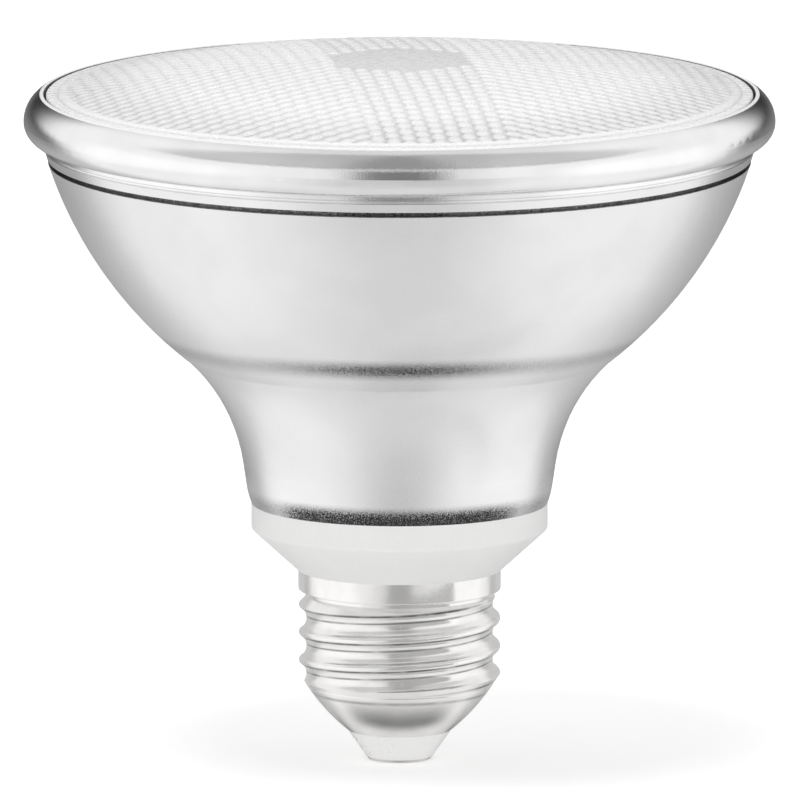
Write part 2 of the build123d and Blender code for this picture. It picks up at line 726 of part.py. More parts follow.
with BuildPart() as driver_chip:
    board_part(CHIP_SIZE, 0, chip_bottom, -1)
keep(driver_chip.part, "driver_chip")

# Transformer: a wound block that stands in the window of a ferrite frame
window_side = CORE_SIDE - 2 * CORE_LEG
winding_side = window_side - 2 * WINDING_CLEARANCE
winding_middle = -board_face - SOLDER_GAP - WINDING_DEPTH / 2

with BuildPart() as transformer_core:
    with Locations((0, winding_middle, core_bottom + CORE_SIDE / 2)):
        Box(CORE_SIDE, CORE_DEPTH, CORE_SIDE)
        Box(window_side, CORE_DEPTH, window_side, mode=Mode.SUBTRACT)
keep(transformer_core.part, "transformer_core")

with BuildPart() as transformer_winding:
    with Locations((0, winding_middle, core_bottom + CORE_SIDE / 2)):
        Box(winding_side, WINDING_DEPTH, winding_side)
    fillet(transformer_winding.edges().filter_by(Axis.Z), WINDING_ROUND)
keep(transformer_winding.part, "transformer_winding")

# Leads from the driver board up to the LED board, one on each face
led_lead_height = led_board_top + SOLDER_GAP + LEAD_RADIUS
for name, side in (("led_lead_front", -1), ("led_lead_back", 1)):
    with BuildPart() as led_lead:
        lead(
            (lead_place, side * lead_offset, board_top - LEAD_SOLDER_LENGTH),
            (lead_place, side * lead_offset, led_lead_height),
            (lead_place, side * LEAD_RUN, led_lead_height),
            bend=LEAD_BEND,
        )
    keep(led_lead.part, name)

# Lead from the contact's stem up the back of the driver board
with BuildPart() as contact_lead:
    lead(
        (0, 0, stem_top),
        (0, 0, stem_top + CONTACT_LEAD_RISE),
        (0, lead_offset, board_bottom - LEAD_RADIUS),
        (0, lead_offset, board_bottom + LEAD_SOLDER_LENGTH),
        bend=LEAD_BEND,
    )
keep(contact_lead.part, "contact_lead")

# Lead from the front of the driver board out under the spigot to the shell's wall
with BuildPart() as shell_lead:
    shell_lead_height = spigot_bottom - HOUSING_CLEARANCE - LEAD_RADIUS
    outer_side = SHELL_LEAD_PLACE + LEAD_RADIUS
    shell_lead_end = sqrt((shell_bore - HOUSING_CLEARANCE) ** 2 - outer_side**2)
    lead(
        (-SHELL_LEAD_PLACE, -lead_offset, board_bottom + LEAD_SOLDER_LENGTH),
        (-SHELL_LEAD_PLACE, -lead_offset, shell_lead_height),
        (-SHELL_LEAD_PLACE, -shell_lead_end, shell_lead_height),
        bend=LEAD_BEND,
    )
keep(shell_lead.part, "shell_lead")
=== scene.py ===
"""Looks for a short-neck spotlight bulb: its materials, its prismatic lens, and a white studio round it."""

import math
from types import SimpleNamespace

import bmesh
import bpy
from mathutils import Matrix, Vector


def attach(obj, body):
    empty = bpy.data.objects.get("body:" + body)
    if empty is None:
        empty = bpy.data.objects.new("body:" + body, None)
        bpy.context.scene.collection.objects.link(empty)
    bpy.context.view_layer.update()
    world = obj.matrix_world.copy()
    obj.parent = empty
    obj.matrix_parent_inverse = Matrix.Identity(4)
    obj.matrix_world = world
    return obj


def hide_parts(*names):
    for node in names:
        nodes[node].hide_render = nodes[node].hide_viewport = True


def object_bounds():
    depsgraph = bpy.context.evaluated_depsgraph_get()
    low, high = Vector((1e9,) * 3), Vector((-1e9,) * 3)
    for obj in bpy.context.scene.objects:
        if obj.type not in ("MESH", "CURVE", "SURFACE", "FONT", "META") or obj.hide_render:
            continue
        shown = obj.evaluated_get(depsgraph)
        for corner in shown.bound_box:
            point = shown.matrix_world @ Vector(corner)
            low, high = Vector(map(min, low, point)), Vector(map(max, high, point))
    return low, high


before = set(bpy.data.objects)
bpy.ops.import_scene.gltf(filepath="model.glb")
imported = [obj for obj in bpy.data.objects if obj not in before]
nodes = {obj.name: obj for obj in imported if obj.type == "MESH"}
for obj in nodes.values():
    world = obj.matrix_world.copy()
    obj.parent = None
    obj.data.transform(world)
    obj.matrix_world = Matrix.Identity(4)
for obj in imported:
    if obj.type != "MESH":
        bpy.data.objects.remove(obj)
cad_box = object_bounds()

MM = 0.001

# Camera
VIEW_WIDTH = 103.3 * MM
VIEW_ELEVATION = math.radians(9.5)
VIEW_DISTANCE = 4.6
VIEW_TARGET = Vector((0.06, 0, 46.88)) * MM
VIEW_CLIP = 20.0
SENSOR_WIDTH = 36.0

# Lens, in millimetres
LENS_RADIUS = 45.6
LENS_SEAT_RADIUS = 43.0
LENS_DOME_RADIUS = 44.0
LENS_DOME_RISE = 4.5
LENS_THICKNESS = 2.8
LENS_STEP = 0.25
LENS_EDGE_HEIGHT = 2.2
LENS_BEVEL = 0.2
LENS_TURN = math.radians(7.1)
GROOVE_REACH = 0.12
GROOVE_DEPTH = 0.1
GROOVE_END = 0.3
UNDERSIDE_SHARES = (0.85, 0.7, 0.55, 0.4, 0.25, 0.1)

# Bumps on the lens: lengths in millimetres, and sinks as shares of a bump's height, which also set the grey
# of the painted valley shade
BUMP_PITCH = 2.26
BUMP_STEPS = 6
BUMP_HEIGHT = 0.33
BUMP_FIELD_RADIUS = 43.0
BUMP_ROUND = 0.4
RIM_SINK = 0.1
RIM_BLUR = 0.2
BARE_RINGS = 4
BARE_SINK = 0.55
STRIP_HALF_WIDTH = 9.0
RIDGE_FAN = math.radians(60)
# Radii over which painted shade makes the lens greyer towards its rim
RIM_SHADE_BORDER = (30.0, 42.0)

# Painted dark reflections on the body, as bands at the foot and above the waist: heights in millimetres,
# strengths, and how they fade towards the sides
FOOT_REFLECTION_BAND = (34.3, 36.3)
FOOT_REFLECTION_STRENGTH = 1.2
FOOT_REFLECTION_FADE = (0.58, 0.82)
FOOT_REFLECTION_SIDE_SHARE = 0.35
WAIST_REFLECTION_BAND = 55.8
WAIST_REFLECTION_DROP = 0.5
WAIST_REFLECTION_HALF = 1.9
WAIST_REFLECTION_DROP_FADE = (0.65, 1.0)
WAIST_REFLECTION_FADE_POWER = 13.0
WAIST_REFLECTION_STRENGTH = (0.3, 0.9)

# Painted shade on the body's edge in the gap under the ring
GAP_SHADE_EDGE = (77.98, 78.06)
GAP_SHADE_STRENGTH = 0.8

# Ring, in millimetres: its bore, painted dark as shade, its matt top edge, and the height above which they
# show
RING_BORE_SHADE = (45.93, 45.97)
RING_EDGE = (46.35, 46.5)
RING_TOP = (82.0, 83.0)

# Screw thread, in millimetres, with a thin painted dark reflection on the cone under it
THREAD_START = 7.5
THREAD_PITCH = 3.629
THREAD_FLANK = (12.1, 12.5)
THREAD_ROOT = (11.9, 12.0)
THREAD_END = (21.0, 21.6)
CONE_REFLECTION_LINE = 8.95
CONE_REFLECTION_HALF = 0.4
CONE_REFLECTION_STRENGTH = 0.5

# Painted dark reflections under the thread's crests and over its roots, in shares of a turn's climb
CREST_REFLECTION_DROP = 0.12
CREST_REFLECTION_WIDTH = 0.075
ROOT_REFLECTION_DROP = 0.4
ROOT_REFLECTION_WIDTH = 0.06
ROOT_REFLECTION_STRENGTH = 0.75

# Finishes: grey levels and gloss as ranges, lengths in millimetres. A metal's dark is the colour of its
# painted shade and painted dark reflections.
NOISE_SPAN = (0.3, 0.7)
SATIN = SimpleNamespace(
    silver=(0.84, 0.88), dark=0.035, gloss=(0.26, 0.36),
    grain=0.07, relief=0.003, blotch=9.0,
    speckle=0.13, speckle_strength=(0.5, 1.5),
)
POLISH = SimpleNamespace(
    silver=(0.84, 0.88), dark=0.08, gloss=(0.08, 0.16),
    grain=0.17, relief=0.012, blotch=7.0,
    edge_gloss=0.5, edge_metal_loss=0.7,
)
NICKEL = SimpleNamespace(
    silver=(0.83, 0.88), warm=0.02, dark=0.07, gloss=(0.13, 0.2), metal=0.8,
    grain=0.3, relief=0.004, blotch=3.0,
    # how the painted dark reflections on the thread vary in strength with a blotch noise
    reflection_vary_span=(0.3, 0.6), reflection_vary=(0.5, 1.0),
)
GLASS = SimpleNamespace(
    crown=(0.97, 0.88), hollow=(0.76, 0.5), valley_span=(0.1, 0.9),
    gloss=(0.22, 0.34), ior=1.45, specular=0.05, clear=0.22,
    ripple=1.1, relief=0.004,
)
PLAIN_BLOTCH = 6.0
PLAIN_GLOSS_SPREAD = 0.15

# Studio room, by direction from the lamp. Across, depth and rise are a direction's parts to the side, to the
# back and up. Bearing is the depth of its level part, from -1 towards the camera to 1 straight back.
FRONT = SimpleNamespace(across=(0.1, 0.6), level=(0.78, 1.0))
SIDE_BOX = SimpleNamespace(across=(0.65, 0.9), glow=0.15, depth=(0.2, 0.5), rise=(-0.5, -0.25, 0.1, 0.4))
WALL = SimpleNamespace(
    rise=(-0.9, 0.1), level=(0.9, 0.03), depth=(0.42, 0.72),
    narrow_rise=(-0.15, 0.15), narrow=0.25,
)

# Greys in the room: the share that each takes off, and its edges in bearing and in rise
SOFT_FRONT = (0.17, (-0.6, -0.97), (-0.95, -0.6, -0.12, 0.0))
DARK_STRIP = (0.72, (-0.95, -0.995), (-0.4, -0.05, 0.34, 0.46))
HIGH_PANEL = (0.35, (0.25, -0.2), (0.49, 0.53))
HIGH_PANEL_MIDDLE = (0.35, (-0.92, -0.995), (0.49, 0.53))
HIGH_PANEL_EDGE = (0.3, (-0.1, -0.35), (0.46, 0.49, 0.53, 0.56))

# Floor
FLOOR_SIZE = 3.0
FLOOR_GRID = 8
FLOOR_DROP = 0.02 * MM
FLOOR_COLOUR = 0.95
FLOOR_LIFT = 0.28

# Cards near the cap, in millimetres: the edges of what they show
# The dark ring is a painted shadow: it stands in for the cap's shadow on the floor, which reflections don't
# show
CONTACT_SHADOW_RING = (5.8, 8.2, 14.0)
CONTACT_SHADOW_FADE = (0.1, 0.95)
GREY_LEFT = (-10.0, 2.0)
GREY_RIGHT = (37.0, 41.0)
GREY_SHARE = 0.9
PALE_SIDES = (25.0, 55.0)
PALE_TOP = (8.0, 17.0)

LAMP_AIM = Vector((0, 0, 45)) * MM


def mesh_object(name, bm):
    mesh = bpy.data.meshes.new(name)
    bm.to_mesh(mesh)
    bm.free()
    obj = bpy.data.objects.new(name, mesh)
    bpy.context.scene.collection.objects.link(obj)
    return obj


class Tree:
    """A small helper for wiring a node tree."""

    def __init__(self, tree):
        self.nodes = tree.nodes
        self.links = tree.links
        self.nodes.clear()

    def put(self, socket, value):
        if hasattr(value, "is_output"):
            self.links.new(value, socket)
        else:
            socket.default_value = value

    def add(self, kind, **settings):
        node = self.nodes.new(kind)
        for name, value in settings.items():
            setattr(node, name, value)
        return node

    def math(self, operation, a, b=0.0, clamp=False):
        node = self.add("ShaderNodeMath", operation=operation, use_clamp=clamp)
        self.put(node.inputs[0], a)
        self.put(node.inputs[1], b)
        return node.outputs[0]

    def ramp(self, value, low, high, out_low=0.0, out_high=1.0, shape="SMOOTHSTEP"):
        """A step from out_low to out_high as value goes from low to high."""
        node = self.add("ShaderNodeMapRange", interpolation_type=shape)
        self.put(node.inputs["Value"], value)
        node.inputs["From Min"].default_value = low
        node.inputs["From Max"].default_value = high
        node.inputs["To Min"].default_value = out_low
        node.inputs["To Max"].default_value = out_high
        return node.outputs["Result"]

    def band(self, value, limits_mm, out_low=0.0, out_high=1.0):
        """A smooth step between two limits in millimetres."""
        return self.ramp(value, limits_mm[0] * MM, limits_mm[1] * MM, out_low, out_high)

    def vary(self, noise, out_low=0.0, out_high=1.0):
        """A value that follows a noise from out_low to out_high."""
        return self.ramp(noise, *NOISE_SPAN, out_low, out_high)

    def off(self, value, middle):
        """How far a value is from a middle, either way."""
        return self.math("ABSOLUTE", self.math("SUBTRACT", value, middle))

    def product(self, *values):
        result = values[0]
        for value in values[1:]:
            result = self.math("MULTIPLY", result, value)
        return result

    def blend(self, factor, a, b):
        node = self.add("ShaderNodeMix", data_type="RGBA")
        self.put(node.inputs["Factor"], factor)
        self.put(node.inputs["A"], a)
        self.put(node.inputs["B"], b)
        return node.outputs["Result"]

    def noise(self, size_mm, detail=2.0):
        """Noise with features of about size_mm, in the lamp's own frame."""
        node = self.add("ShaderNodeTexNoise")
        self.links.new(self.add("ShaderNodeTexCoord").outputs["Object"], node.inputs["Vector"])
        node.inputs["Scale"].default_value = 1 / (size_mm * MM)
        node.inputs["Detail"].default_value = detail
        return node.outputs["Fac"]

    def place(self):
        """A point's own x, y and z."""
        split = self.add("ShaderNodeSeparateXYZ")
        self.links.new(self.add("ShaderNodeTexCoord").outputs["Object"], split.inputs["Vector"])
        return split.outputs

    def length(self, x, y):
        return self.math("SQRT", self.math("ADD", self.math("MULTIPLY", x, x), self.math("MULTIPLY", y, y)))

    def polar(self):
        """A point's radius, height and angle in turns, and how squarely it faces the front or back."""
        x, y, z = self.place()
        radius = self.length(x, y)
        turns = self.math("DIVIDE", self.math("ARCTAN2", y, x), 2 * math.pi)
        facing = self.math("DIVIDE", self.math("ABSOLUTE", y), self.math("MAXIMUM", radius, 0.1 * MM))
        return SimpleNamespace(radius=radius, height=z, turns=turns, facing=facing)

    def bump(self, height, depth_mm):
        node = self.add("ShaderNodeBump")
        node.inputs["Strength"].default_value = 1.0
        node.inputs["Distance"].default_value = depth_mm * MM
        self.links.new(height, node.inputs["Height"])
        return node.outputs["Normal"]


def grey(level, warm=0.0):
    return (level, level * (1 - warm / 2), level * (1 - warm), 1.0)


def greys(levels, warm=0.0):
    return [grey(level, warm) for level in levels]


def new_material(name):
    material = bpy.data.materials.new(name)
    material.use_nodes = True
    tree = Tree(material.node_tree)
    shader = tree.add("ShaderNodeBsdfPrincipled")
    output = tree.add("ShaderNodeOutputMaterial")
    tree.links.new(shader.outputs["BSDF"], output.inputs["Surface"])
    return material, tree, shader


def plain(name, colour, metallic, roughness, grain_mm, grain_depth_mm, spread):
    """A surface with a fine grain, and with soft variation in its colour and gloss."""
    material, tree, shader = new_material(name)
    grain = tree.noise(grain_mm, detail=3.0)
    blotch = tree.noise(PLAIN_BLOTCH)
    mixed = tree.math("ADD", tree.math("MULTIPLY", grain, 0.5), tree.math("MULTIPLY", blotch, 0.5))
    dark = tuple(c * (1 - spread) for c in colour[:3]) + (1.0,)
    light = tuple(min(1.0, c * (1 + spread)) for c in colour[:3]) + (1.0,)
    tree.put(shader.inputs["Base Color"], tree.blend(tree.vary(mixed), dark, light))
    gloss = tree.vary(mixed, roughness * (1 - PLAIN_GLOSS_SPREAD), roughness * (1 + PLAIN_GLOSS_SPREAD))
    tree.put(shader.inputs["Roughness"], gloss)
    shader.inputs["Metallic"].default_value = metallic
    tree.put(shader.inputs["Normal"], tree.bump(grain, grain_depth_mm))
    return material


def satin_body():
    """Satin silver, with painted dark reflections as speckled bands above its waist and at its foot, and
    painted shade under the ring.
    """
    material, tree, shader = new_material("satin_silver")
    grain = tree.noise(SATIN.grain)
    speckle = tree.noise(SATIN.speckle, detail=1.0)
    blotch = tree.noise(SATIN.blotch)
    at = tree.polar()
    # Painted dark reflections: a band at the foot and one above the waist, both fading towards the sides
    foot = tree.product(
        tree.band(at.height, FOOT_REFLECTION_BAND, FOOT_REFLECTION_STRENGTH, 0.0),
        tree.ramp(at.facing, *FOOT_REFLECTION_FADE, FOOT_REFLECTION_SIDE_SHARE, 1.0),
    )
    middle = tree.ramp(at.facing, *WAIST_REFLECTION_DROP_FADE, (WAIST_REFLECTION_BAND - WAIST_REFLECTION_DROP) * MM, WAIST_REFLECTION_BAND * MM)
    squarely = tree.math("POWER", at.facing, WAIST_REFLECTION_FADE_POWER)
    waist = tree.product(
        tree.band(tree.off(at.height, middle), (0.0, WAIST_REFLECTION_HALF), 1.0, 0.0),
        tree.ramp(squarely, 0.0, 1.0, *WAIST_REFLECTION_STRENGTH, shape="LINEAR"),
    )
    # Painted shade on the body's edge down in the gap under the ring
    gap = tree.band(at.height, GAP_SHADE_EDGE, 0.0, GAP_SHADE_STRENGTH)
    shade = tree.math("MAXIMUM", tree.math("MAXIMUM", foot, waist), gap)
    shade = tree.math("MULTIPLY", shade, tree.vary(speckle, *SATIN.speckle_strength), clamp=True)
    silver = tree.blend(tree.vary(blotch), *greys(SATIN.silver))
    tree.put(shader.inputs["Base Color"], tree.blend(shade, silver, grey(SATIN.dark)))
    tree.put(shader.inputs["Roughness"], tree.vary(grain, *SATIN.gloss))
    shader.inputs["Metallic"].default_value = 1.0
    tree.put(shader.inputs["Normal"], tree.bump(grain, SATIN.relief))
    return material


def polished_ring():
    """Polished silver with a fine grain, a matt top edge, and painted shade down in the gap round the lens.
    """
    material, tree, shader = new_material("polished_silver")
    grain = tree.noise(POLISH.grain, detail=1.0)
    blotch = tree.noise(POLISH.blotch)
    at = tree.polar()
    above = tree.band(at.height, RING_TOP)
    # Painted shade down in the bore round the lens
    bore_shade = tree.product(tree.band(at.radius, RING_BORE_SHADE, 1.0, 0.0), above)
    edge = tree.product(tree.band(at.radius, RING_EDGE, 1.0, 0.0), above)
    silver = tree.blend(tree.vary(blotch), *greys(POLISH.silver))
    tree.put(shader.inputs["Base Color"], tree.blend(bore_shade, silver, grey(POLISH.dark)))
    gloss = tree.math("ADD", tree.vary(grain, *POLISH.gloss), tree.math("MULTIPLY", edge, POLISH.edge_gloss))
    tree.put(shader.inputs["Roughness"], gloss)
    metal = tree.math("SUBTRACT", 1.0, tree.math("MULTIPLY", edge, POLISH.edge_metal_loss))
    tree.put(shader.inputs["Metallic"], metal)
    tree.put(shader.inputs["Normal"], tree.bump(grain, POLISH.relief))
    return material


def nickel_shell():
    """Bright nickel, with thin painted dark reflections under the thread's crests, over its roots and on the
    cone.
    """
    material, tree, shader = new_material("nickel")
    grain = tree.noise(NICKEL.grain)
    blotch = tree.noise(NICKEL.blotch)
    at = tree.polar()
    climb = tree.math("DIVIDE", tree.math("SUBTRACT", at.height, THREAD_START * MM), THREAD_PITCH * MM)
    below = tree.math("FRACT", tree.math("SUBTRACT", tree.math("ADD", at.turns, 0.5), climb))
    # Painted dark reflections under the crests, over the roots and on the cone
    crest = tree.product(
        tree.ramp(tree.off(below, 0.5 + CREST_REFLECTION_DROP), 0.0, CREST_REFLECTION_WIDTH, 1.0, 0.0),
        tree.band(at.radius, THREAD_FLANK),
    )
    root = tree.product(
        tree.ramp(tree.off(below, 0.5 + ROOT_REFLECTION_DROP), 0.0, ROOT_REFLECTION_WIDTH, ROOT_REFLECTION_STRENGTH, 0.0),
        tree.band(at.radius, THREAD_ROOT),
    )
    cone = tree.product(
        tree.band(tree.off(at.height, CONE_REFLECTION_LINE * MM), (0.0, CONE_REFLECTION_HALF), CONE_REFLECTION_STRENGTH, 0.0),
        tree.band(at.radius, THREAD_ROOT, 1.0, 0.0),
    )
    # The painted dark reflections vary in strength with a blotch noise
    thread_reflection = tree.product(
        tree.math("MAXIMUM", tree.math("MAXIMUM", crest, root), cone),
        tree.band(at.height, THREAD_END, 1.0, 0.0),
        tree.ramp(blotch, *NICKEL.reflection_vary_span, *NICKEL.reflection_vary),
    )
    plate = tree.blend(tree.vary(blotch), *greys(NICKEL.silver, NICKEL.warm))
    tree.put(shader.inputs["Base Color"], tree.blend(thread_reflection, plate, grey(NICKEL.dark)))
    tree.put(shader.inputs["Roughness"], tree.vary(grain, *NICKEL.gloss))
    shader.inputs["Metallic"].default_value = NICKEL.metal
    tree.put(shader.inputs["Normal"], tree.bump(grain, NICKEL.relief))
    return material


def milky_glass():
    """Pale glass with painted shade: whiter on the crowns of its bumps and greyer in the valleys, most of
    all near the rim.
    """
    material, tree, shader = new_material("milky_glass")
    ripple = tree.noise(GLASS.ripple)
    at = tree.polar()
    # Painted shade: greyer down in the valleys by the stored sink, and greyer towards the rim
    valley = tree.add("ShaderNodeAttribute", attribute_name="valley").outputs["Fac"]
    rim = (BUMP_FIELD_RADIUS - RIM_BLUR, BUMP_FIELD_RADIUS + RIM_BLUR)
    rim_shade = tree.product(tree.band(at.radius, RIM_SHADE_BORDER), tree.band(at.radius, rim, 1.0, 0.0))
    crown = tree.blend(rim_shade, *greys(GLASS.crown))
    hollow = tree.blend(rim_shade, *greys(GLASS.hollow))
    tree.put(shader.inputs["Base Color"], tree.blend(tree.ramp(valley, *GLASS.valley_span), crown, hollow))
    shader.inputs["IOR"].default_value = GLASS.ior
    shader.inputs["Specular IOR Level"].default_value = GLASS.specular
    shader.inputs["Transmission Weight"].default_value = GLASS.clear
    tree.put(shader.inputs["Roughness"], tree.vary(ripple, *GLASS.gloss))
    tree.put(shader.inputs["Normal"], tree.bump(ripple, GLASS.relief))
    return material


def prismatic_lens():
    """The lens, closed all round, with rows of rounded bumps on its face and a bare six-sided middle."""
    top = cad_box[1].z / MM
    dome_foot = top - LENS_DOME_RISE
    border = dome_foot - LENS_STEP
    seat = border - LENS_EDGE_HEIGHT
    curve = (LENS_DOME_RADIUS**2 + LENS_DOME_RISE**2) / (2 * LENS_DOME_RISE)
    under_top = top - LENS_THICKNESS
    under_rise = under_top - seat
    under_curve = (LENS_SEAT_RADIUS**2 + under_rise**2) / (2 * under_rise)
    row = BUMP_PITCH * math.sqrt(3) / 2
    reach = BUMP_PITCH / math.sqrt(3)
    turn = math.cos(LENS_TURN), math.sin(LENS_TURN)

    def place(i, j):
        """Grid steps to millimetres: i steps across the columns, j along them."""
        x = i * row / BUMP_STEPS
        y = (j + i / 2) * BUMP_PITCH / BUMP_STEPS
        return x * turn[0] - y * turn[1], x * turn[1] + y * turn[0]

    def cell(i, j):
        """The distance to the nearest bump's middle, the way there, and that bump's own grid place."""
        best = None
        for a in (i // BUMP_STEPS, i // BUMP_STEPS + 1):
            for b in (j // BUMP_STEPS, j // BUMP_STEPS + 1):
                off = place(i - a * BUMP_STEPS, j - b * BUMP_STEPS)
                d = math.hypot(*off)
                if best is None or d < best[0]:
                    best = (d, off, a, b)
        return best

    def ridge(a, b):
        """The direction in which bumps run together: front to back in the middle strip, else outwards."""
        x, y = place(a * BUMP_STEPS, b * BUMP_STEPS)
        aside = x * turn[0] + y * turn[1]
        ahead = y * turn[0] - x * turn[1]
        straight = LENS_TURN + math.pi / 2
        if abs(aside) < STRIP_HALF_WIDTH:
            return straight
        return straight + (RIDGE_FAN if aside * ahead < 0 else -RIDGE_FAN)

    bm = bmesh.new()
    valley = bm.verts.layers.float.new("valley")
    grid = {}
    span = (int(LENS_DOME_RADIUS / row) + 2) * BUMP_STEPS
    for i in range(-span, span + 1):
        for j in range(-2 * span, 2 * span + 1):
            x, y = place(i, j)
            r = math.hypot(x, y)
            if r > LENS_DOME_RADIUS:
                continue
            d, off, a, b = cell(i, j)
            z = top - curve + math.sqrt(curve**2 - r * r)
            if r > BUMP_FIELD_RADIUS:
                sink = RIM_SINK
            elif max(abs(a), abs(b), abs(a + b)) <= BARE_RINGS:
                sink = BARE_SINK
            else:
                along = ridge(a, b)
                across_ridge = off[1] * math.cos(along) - off[0] * math.sin(along)
                sink = BUMP_ROUND * (d / reach) ** 2 + (1 - BUMP_ROUND) * (across_ridge / reach) ** 2
            v = bm.verts.new((x * MM, y * MM, (z - BUMP_HEIGHT * sink) * MM))
            # The sink is stored too, for the glass to paint the valleys greyer as shade
            v[valley] = sink
            grid[i, j] = v
    for (i, j), v in list(grid.items()):
        for other in (((i + 1, j), (i, j + 1)), ((i + 1, j - 1), (i + 1, j))):
            corners = [grid.get(k) for k in other]
            if None not in corners:
                bm.faces.new((v, *corners))
    loose = [v for v in bm.verts if not v.link_faces]
    bmesh.ops.delete(bm, geom=loose, context="VERTS")
    edge = [e for e in bm.edges if e.is_boundary]
    for v in {v for e in edge for v in e.verts}:
        flat = Vector((v.co.x, v.co.y)).normalized() * LENS_DOME_RADIUS * MM
        v.co = (flat.x, flat.y, dome_foot * MM)
        v[valley] = RIM_SINK

    # The groove, the border, the edge, the seat and the underside: radius, height, and how grey the painted
    # valley shade makes it
    profile = [
        (LENS_DOME_RADIUS + GROOVE_REACH, border - GROOVE_DEPTH, 0.6),
        (LENS_DOME_RADIUS + GROOVE_END, border, 0.1),
        (LENS_RADIUS - LENS_BEVEL, border, 0.0),
        (LENS_RADIUS, border - LENS_BEVEL, 0.2),
        (LENS_RADIUS, seat, 0.5),
        (LENS_SEAT_RADIUS, seat, 0.5),
    ]
    for share in UNDERSIDE_SHARES:
        r = LENS_SEAT_RADIUS * share
        profile.append((r, under_top - under_curve + math.sqrt(under_curve**2 - r * r), 0.0))
    for radius, height, sink in profile:
        made = bmesh.ops.extrude_edge_only(bm, edges=edge)["geom"]
        for v in (g for g in made if isinstance(g, bmesh.types.BMVert)):
            flat = Vector((v.co.x, v.co.y)).normalized() * radius * MM
            v.co = (flat.x, flat.y, height * MM)
            v[valley] = sink
        edge = [g for g in made if isinstance(g, bmesh.types.BMEdge) and g.is_boundary]
    bmesh.ops.holes_fill(bm, edges=edge, sides=0)
    bmesh.ops.recalc_face_normals(bm, faces=bm.faces)
    for f in bm.faces:
        f.smooth = True
    return mesh_object("prismatic_lens", bm)


def dress(material, *names):
    for name in names:
        slots = nodes[name].data.materials
        slots.clear()
        slots.append(material)


# Materials on the lamp's own pieces
dress(satin_body(), "lamp_body")
dress(polished_ring(), "front_ring")
dress(nickel_shell(), "screw_shell")

# Plain finishes and their pieces. A finish is a name, a colour, metallic, roughness, the grain's size and
# depth in millimetres, and how far the colour varies.
PLAIN_FINISHES = [
    (("tinned_contact", grey(0.62, 0.06), 1.0, 0.4, 0.3, 0.01, 0.05), ["centre_contact"]),
    (("white_ceramic", grey(0.97, 0.01), 0.0, 0.3, 0.6, 0.004, 0.015), ["cap_insulator"]),
    (("white_moulding", grey(0.77, 0.01), 0.0, 0.42, 0.4, 0.006, 0.015), ["driver_housing", "driver_cover"]),
    (("mirror_coat", grey(0.88), 1.0, 0.08, 0.5, 0.004, 0.05), ["reflector_cup"]),
    (("silicone", grey(0.75, 0.03), 0.0, 0.5, 0.5, 0.01, 0.05), ["lens_seal"]),
    (("soft_pad", (0.42, 0.46, 0.52), 0.0, 0.8, 0.4, 0.02, 0.05), ["thermal_pad"]),
    (("white_mask", grey(0.84, 0.02), 0.0, 0.45, 0.5, 0.008, 0.02), ["led_board"]),
    (("zinc_plate", grey(0.62, 0.05), 1.0, 0.35, 0.2, 0.01, 0.05), ["board_screws"]),
    (("white_carrier", grey(0.8, 0.03), 0.0, 0.4, 0.2, 0.005, 0.05), ["led_carrier"]),
    (("phosphor", (0.86, 0.62, 0.10), 0.0, 0.5, 0.3, 0.01, 0.05), ["led_phosphor"]),
    (("green_mask", (0.03, 0.16, 0.07), 0.0, 0.35, 0.4, 0.01, 0.15), ["driver_board"]),
    (("red_coat", (0.45, 0.06, 0.03), 0.0, 0.3, 0.5, 0.01, 0.1), ["film_capacitor"]),
    (("blue_coat", (0.03, 0.09, 0.32), 0.0, 0.3, 0.5, 0.01, 0.1), ["varistor"]),
    (("black_moulding", grey(0.03), 0.0, 0.55, 0.2, 0.01, 0.2), ["bridge_rectifier", "driver_chip"]),
    (("dark_sleeve", (0.02, 0.025, 0.05), 0.0, 0.3, 0.4, 0.008, 0.2),
     ["bulk_capacitor", "output_capacitor"]),
    (("grey_lacquer", (0.14, 0.24, 0.22), 0.0, 0.5, 0.2, 0.01, 0.1), ["fuse_resistor"]),
    (("ferrite", grey(0.06), 0.0, 0.7, 0.15, 0.015, 0.2), ["input_choke", "transformer_core"]),
    (("yellow_tape", (0.62, 0.42, 0.04), 0.0, 0.35, 0.5, 0.01, 0.08), ["transformer_winding"]),
    (("red_wire", (0.36, 0.02, 0.015), 0.0, 0.35, 0.3, 0.01, 0.1), ["led_lead_front", "shell_lead"]),
    (("black_wire", grey(0.02), 0.0, 0.35, 0.3, 0.01, 0.2), ["led_lead_back", "contact_lead"]),
]
for finish, pieces in PLAIN_FINISHES:
    dress(plain(*finish), *pieces)

lens = prismatic_lens()
lens.data.materials.append(milky_glass())
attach(lens, "root")
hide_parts("front_lens")

# Studio: a white room that the lamp reflects, white to the camera
scene = bpy.context.scene
scene.view_settings.view_transform = "Standard"
world = bpy.data.worlds.new("studio")
scene.world = world
world.use_nodes = True
room = Tree(world.node_tree)
direction = room.add("ShaderNodeSeparateXYZ")
room.links.new(room.add("ShaderNodeTexCoord").outputs["Generated"], direction.inputs["Vector"])
across = room.math("ABSOLUTE", direction.outputs["X"])
depth = direction.outputs["Y"]
rise = direction.outputs["Z"]
bearing = room.math("DIVIDE", depth, room.math("MAXIMUM", room.length(across, depth), 0.001))


def rises(edges):
    """Masks by rise: up between the first two edges and, where there are four, down between the last two."""
    masks = [room.ramp(rise, edges[0], edges[1])]
    if len(edges) == 4:
        masks.append(room.ramp(rise, edges[3], edges[2]))
    return masks


